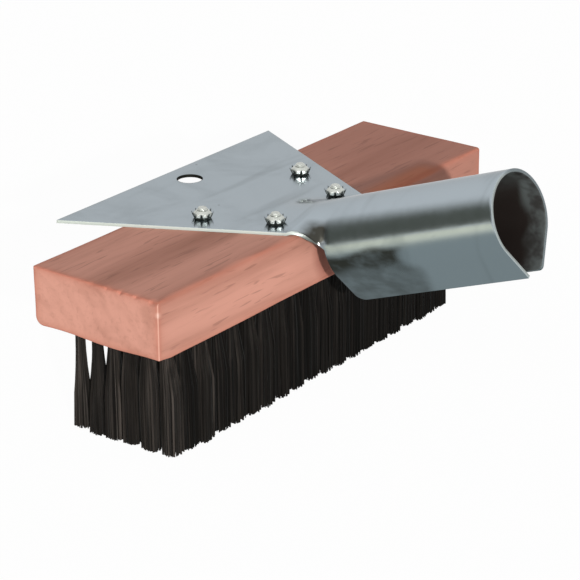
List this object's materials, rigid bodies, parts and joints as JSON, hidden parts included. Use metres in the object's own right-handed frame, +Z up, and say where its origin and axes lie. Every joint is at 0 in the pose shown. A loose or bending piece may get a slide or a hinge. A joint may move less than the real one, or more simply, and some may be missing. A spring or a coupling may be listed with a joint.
{
  "type": "wire scratch brush with scraper",
  "caption": "Wooden block brush with steel wire tufts and a bolted sheet-metal scraper that rolls into a socket for a long handle.",
  "frame": {"origin": "on the plane of the wire tips, under the middle of the part's outline seen from above", "axes": "+X along the wooden block, +Y towards the scraping edge, so the handle leaves towards -Y, and +Z up from the wire tips to the scraper sheet"},
  "size_m": [0.254, 0.2124, 0.1271],
  "materials": {
    "wood": "sanded, uncoated",
    "galvanized_sheet": "galvanized, smooth satin",
    "zinc_hardware": "bright zinc plated",
    "wire": "dark tempered steel wire"
  },
  "bodies": {
    "root": {"wood_block": "wood", "scraper_sheet": "galvanized_sheet", "bolt_front_left": "zinc_hardware", "bolt_front_right": "zinc_hardware", "bolt_rear_left": "zinc_hardware", "bolt_rear_right": "zinc_hardware", "nut_front_left": "zinc_hardware", "nut_front_right": "zinc_hardware", "nut_rear_left": "zinc_hardware", "nut_rear_right": "zinc_hardware", "lock_washer_front_left": "zinc_hardware", "lock_washer_front_right": "zinc_hardware", "lock_washer_rear_left": "zinc_hardware", "lock_washer_rear_right": "zinc_hardware", "bristle_row_1": "wire", "bristle_row_2": "wire", "bristle_row_3": "wire", "bristle_row_4": "wire", "bristle_row_5": "wire", "bristle_row_6": "wire"}
  },
  "joints": []
}
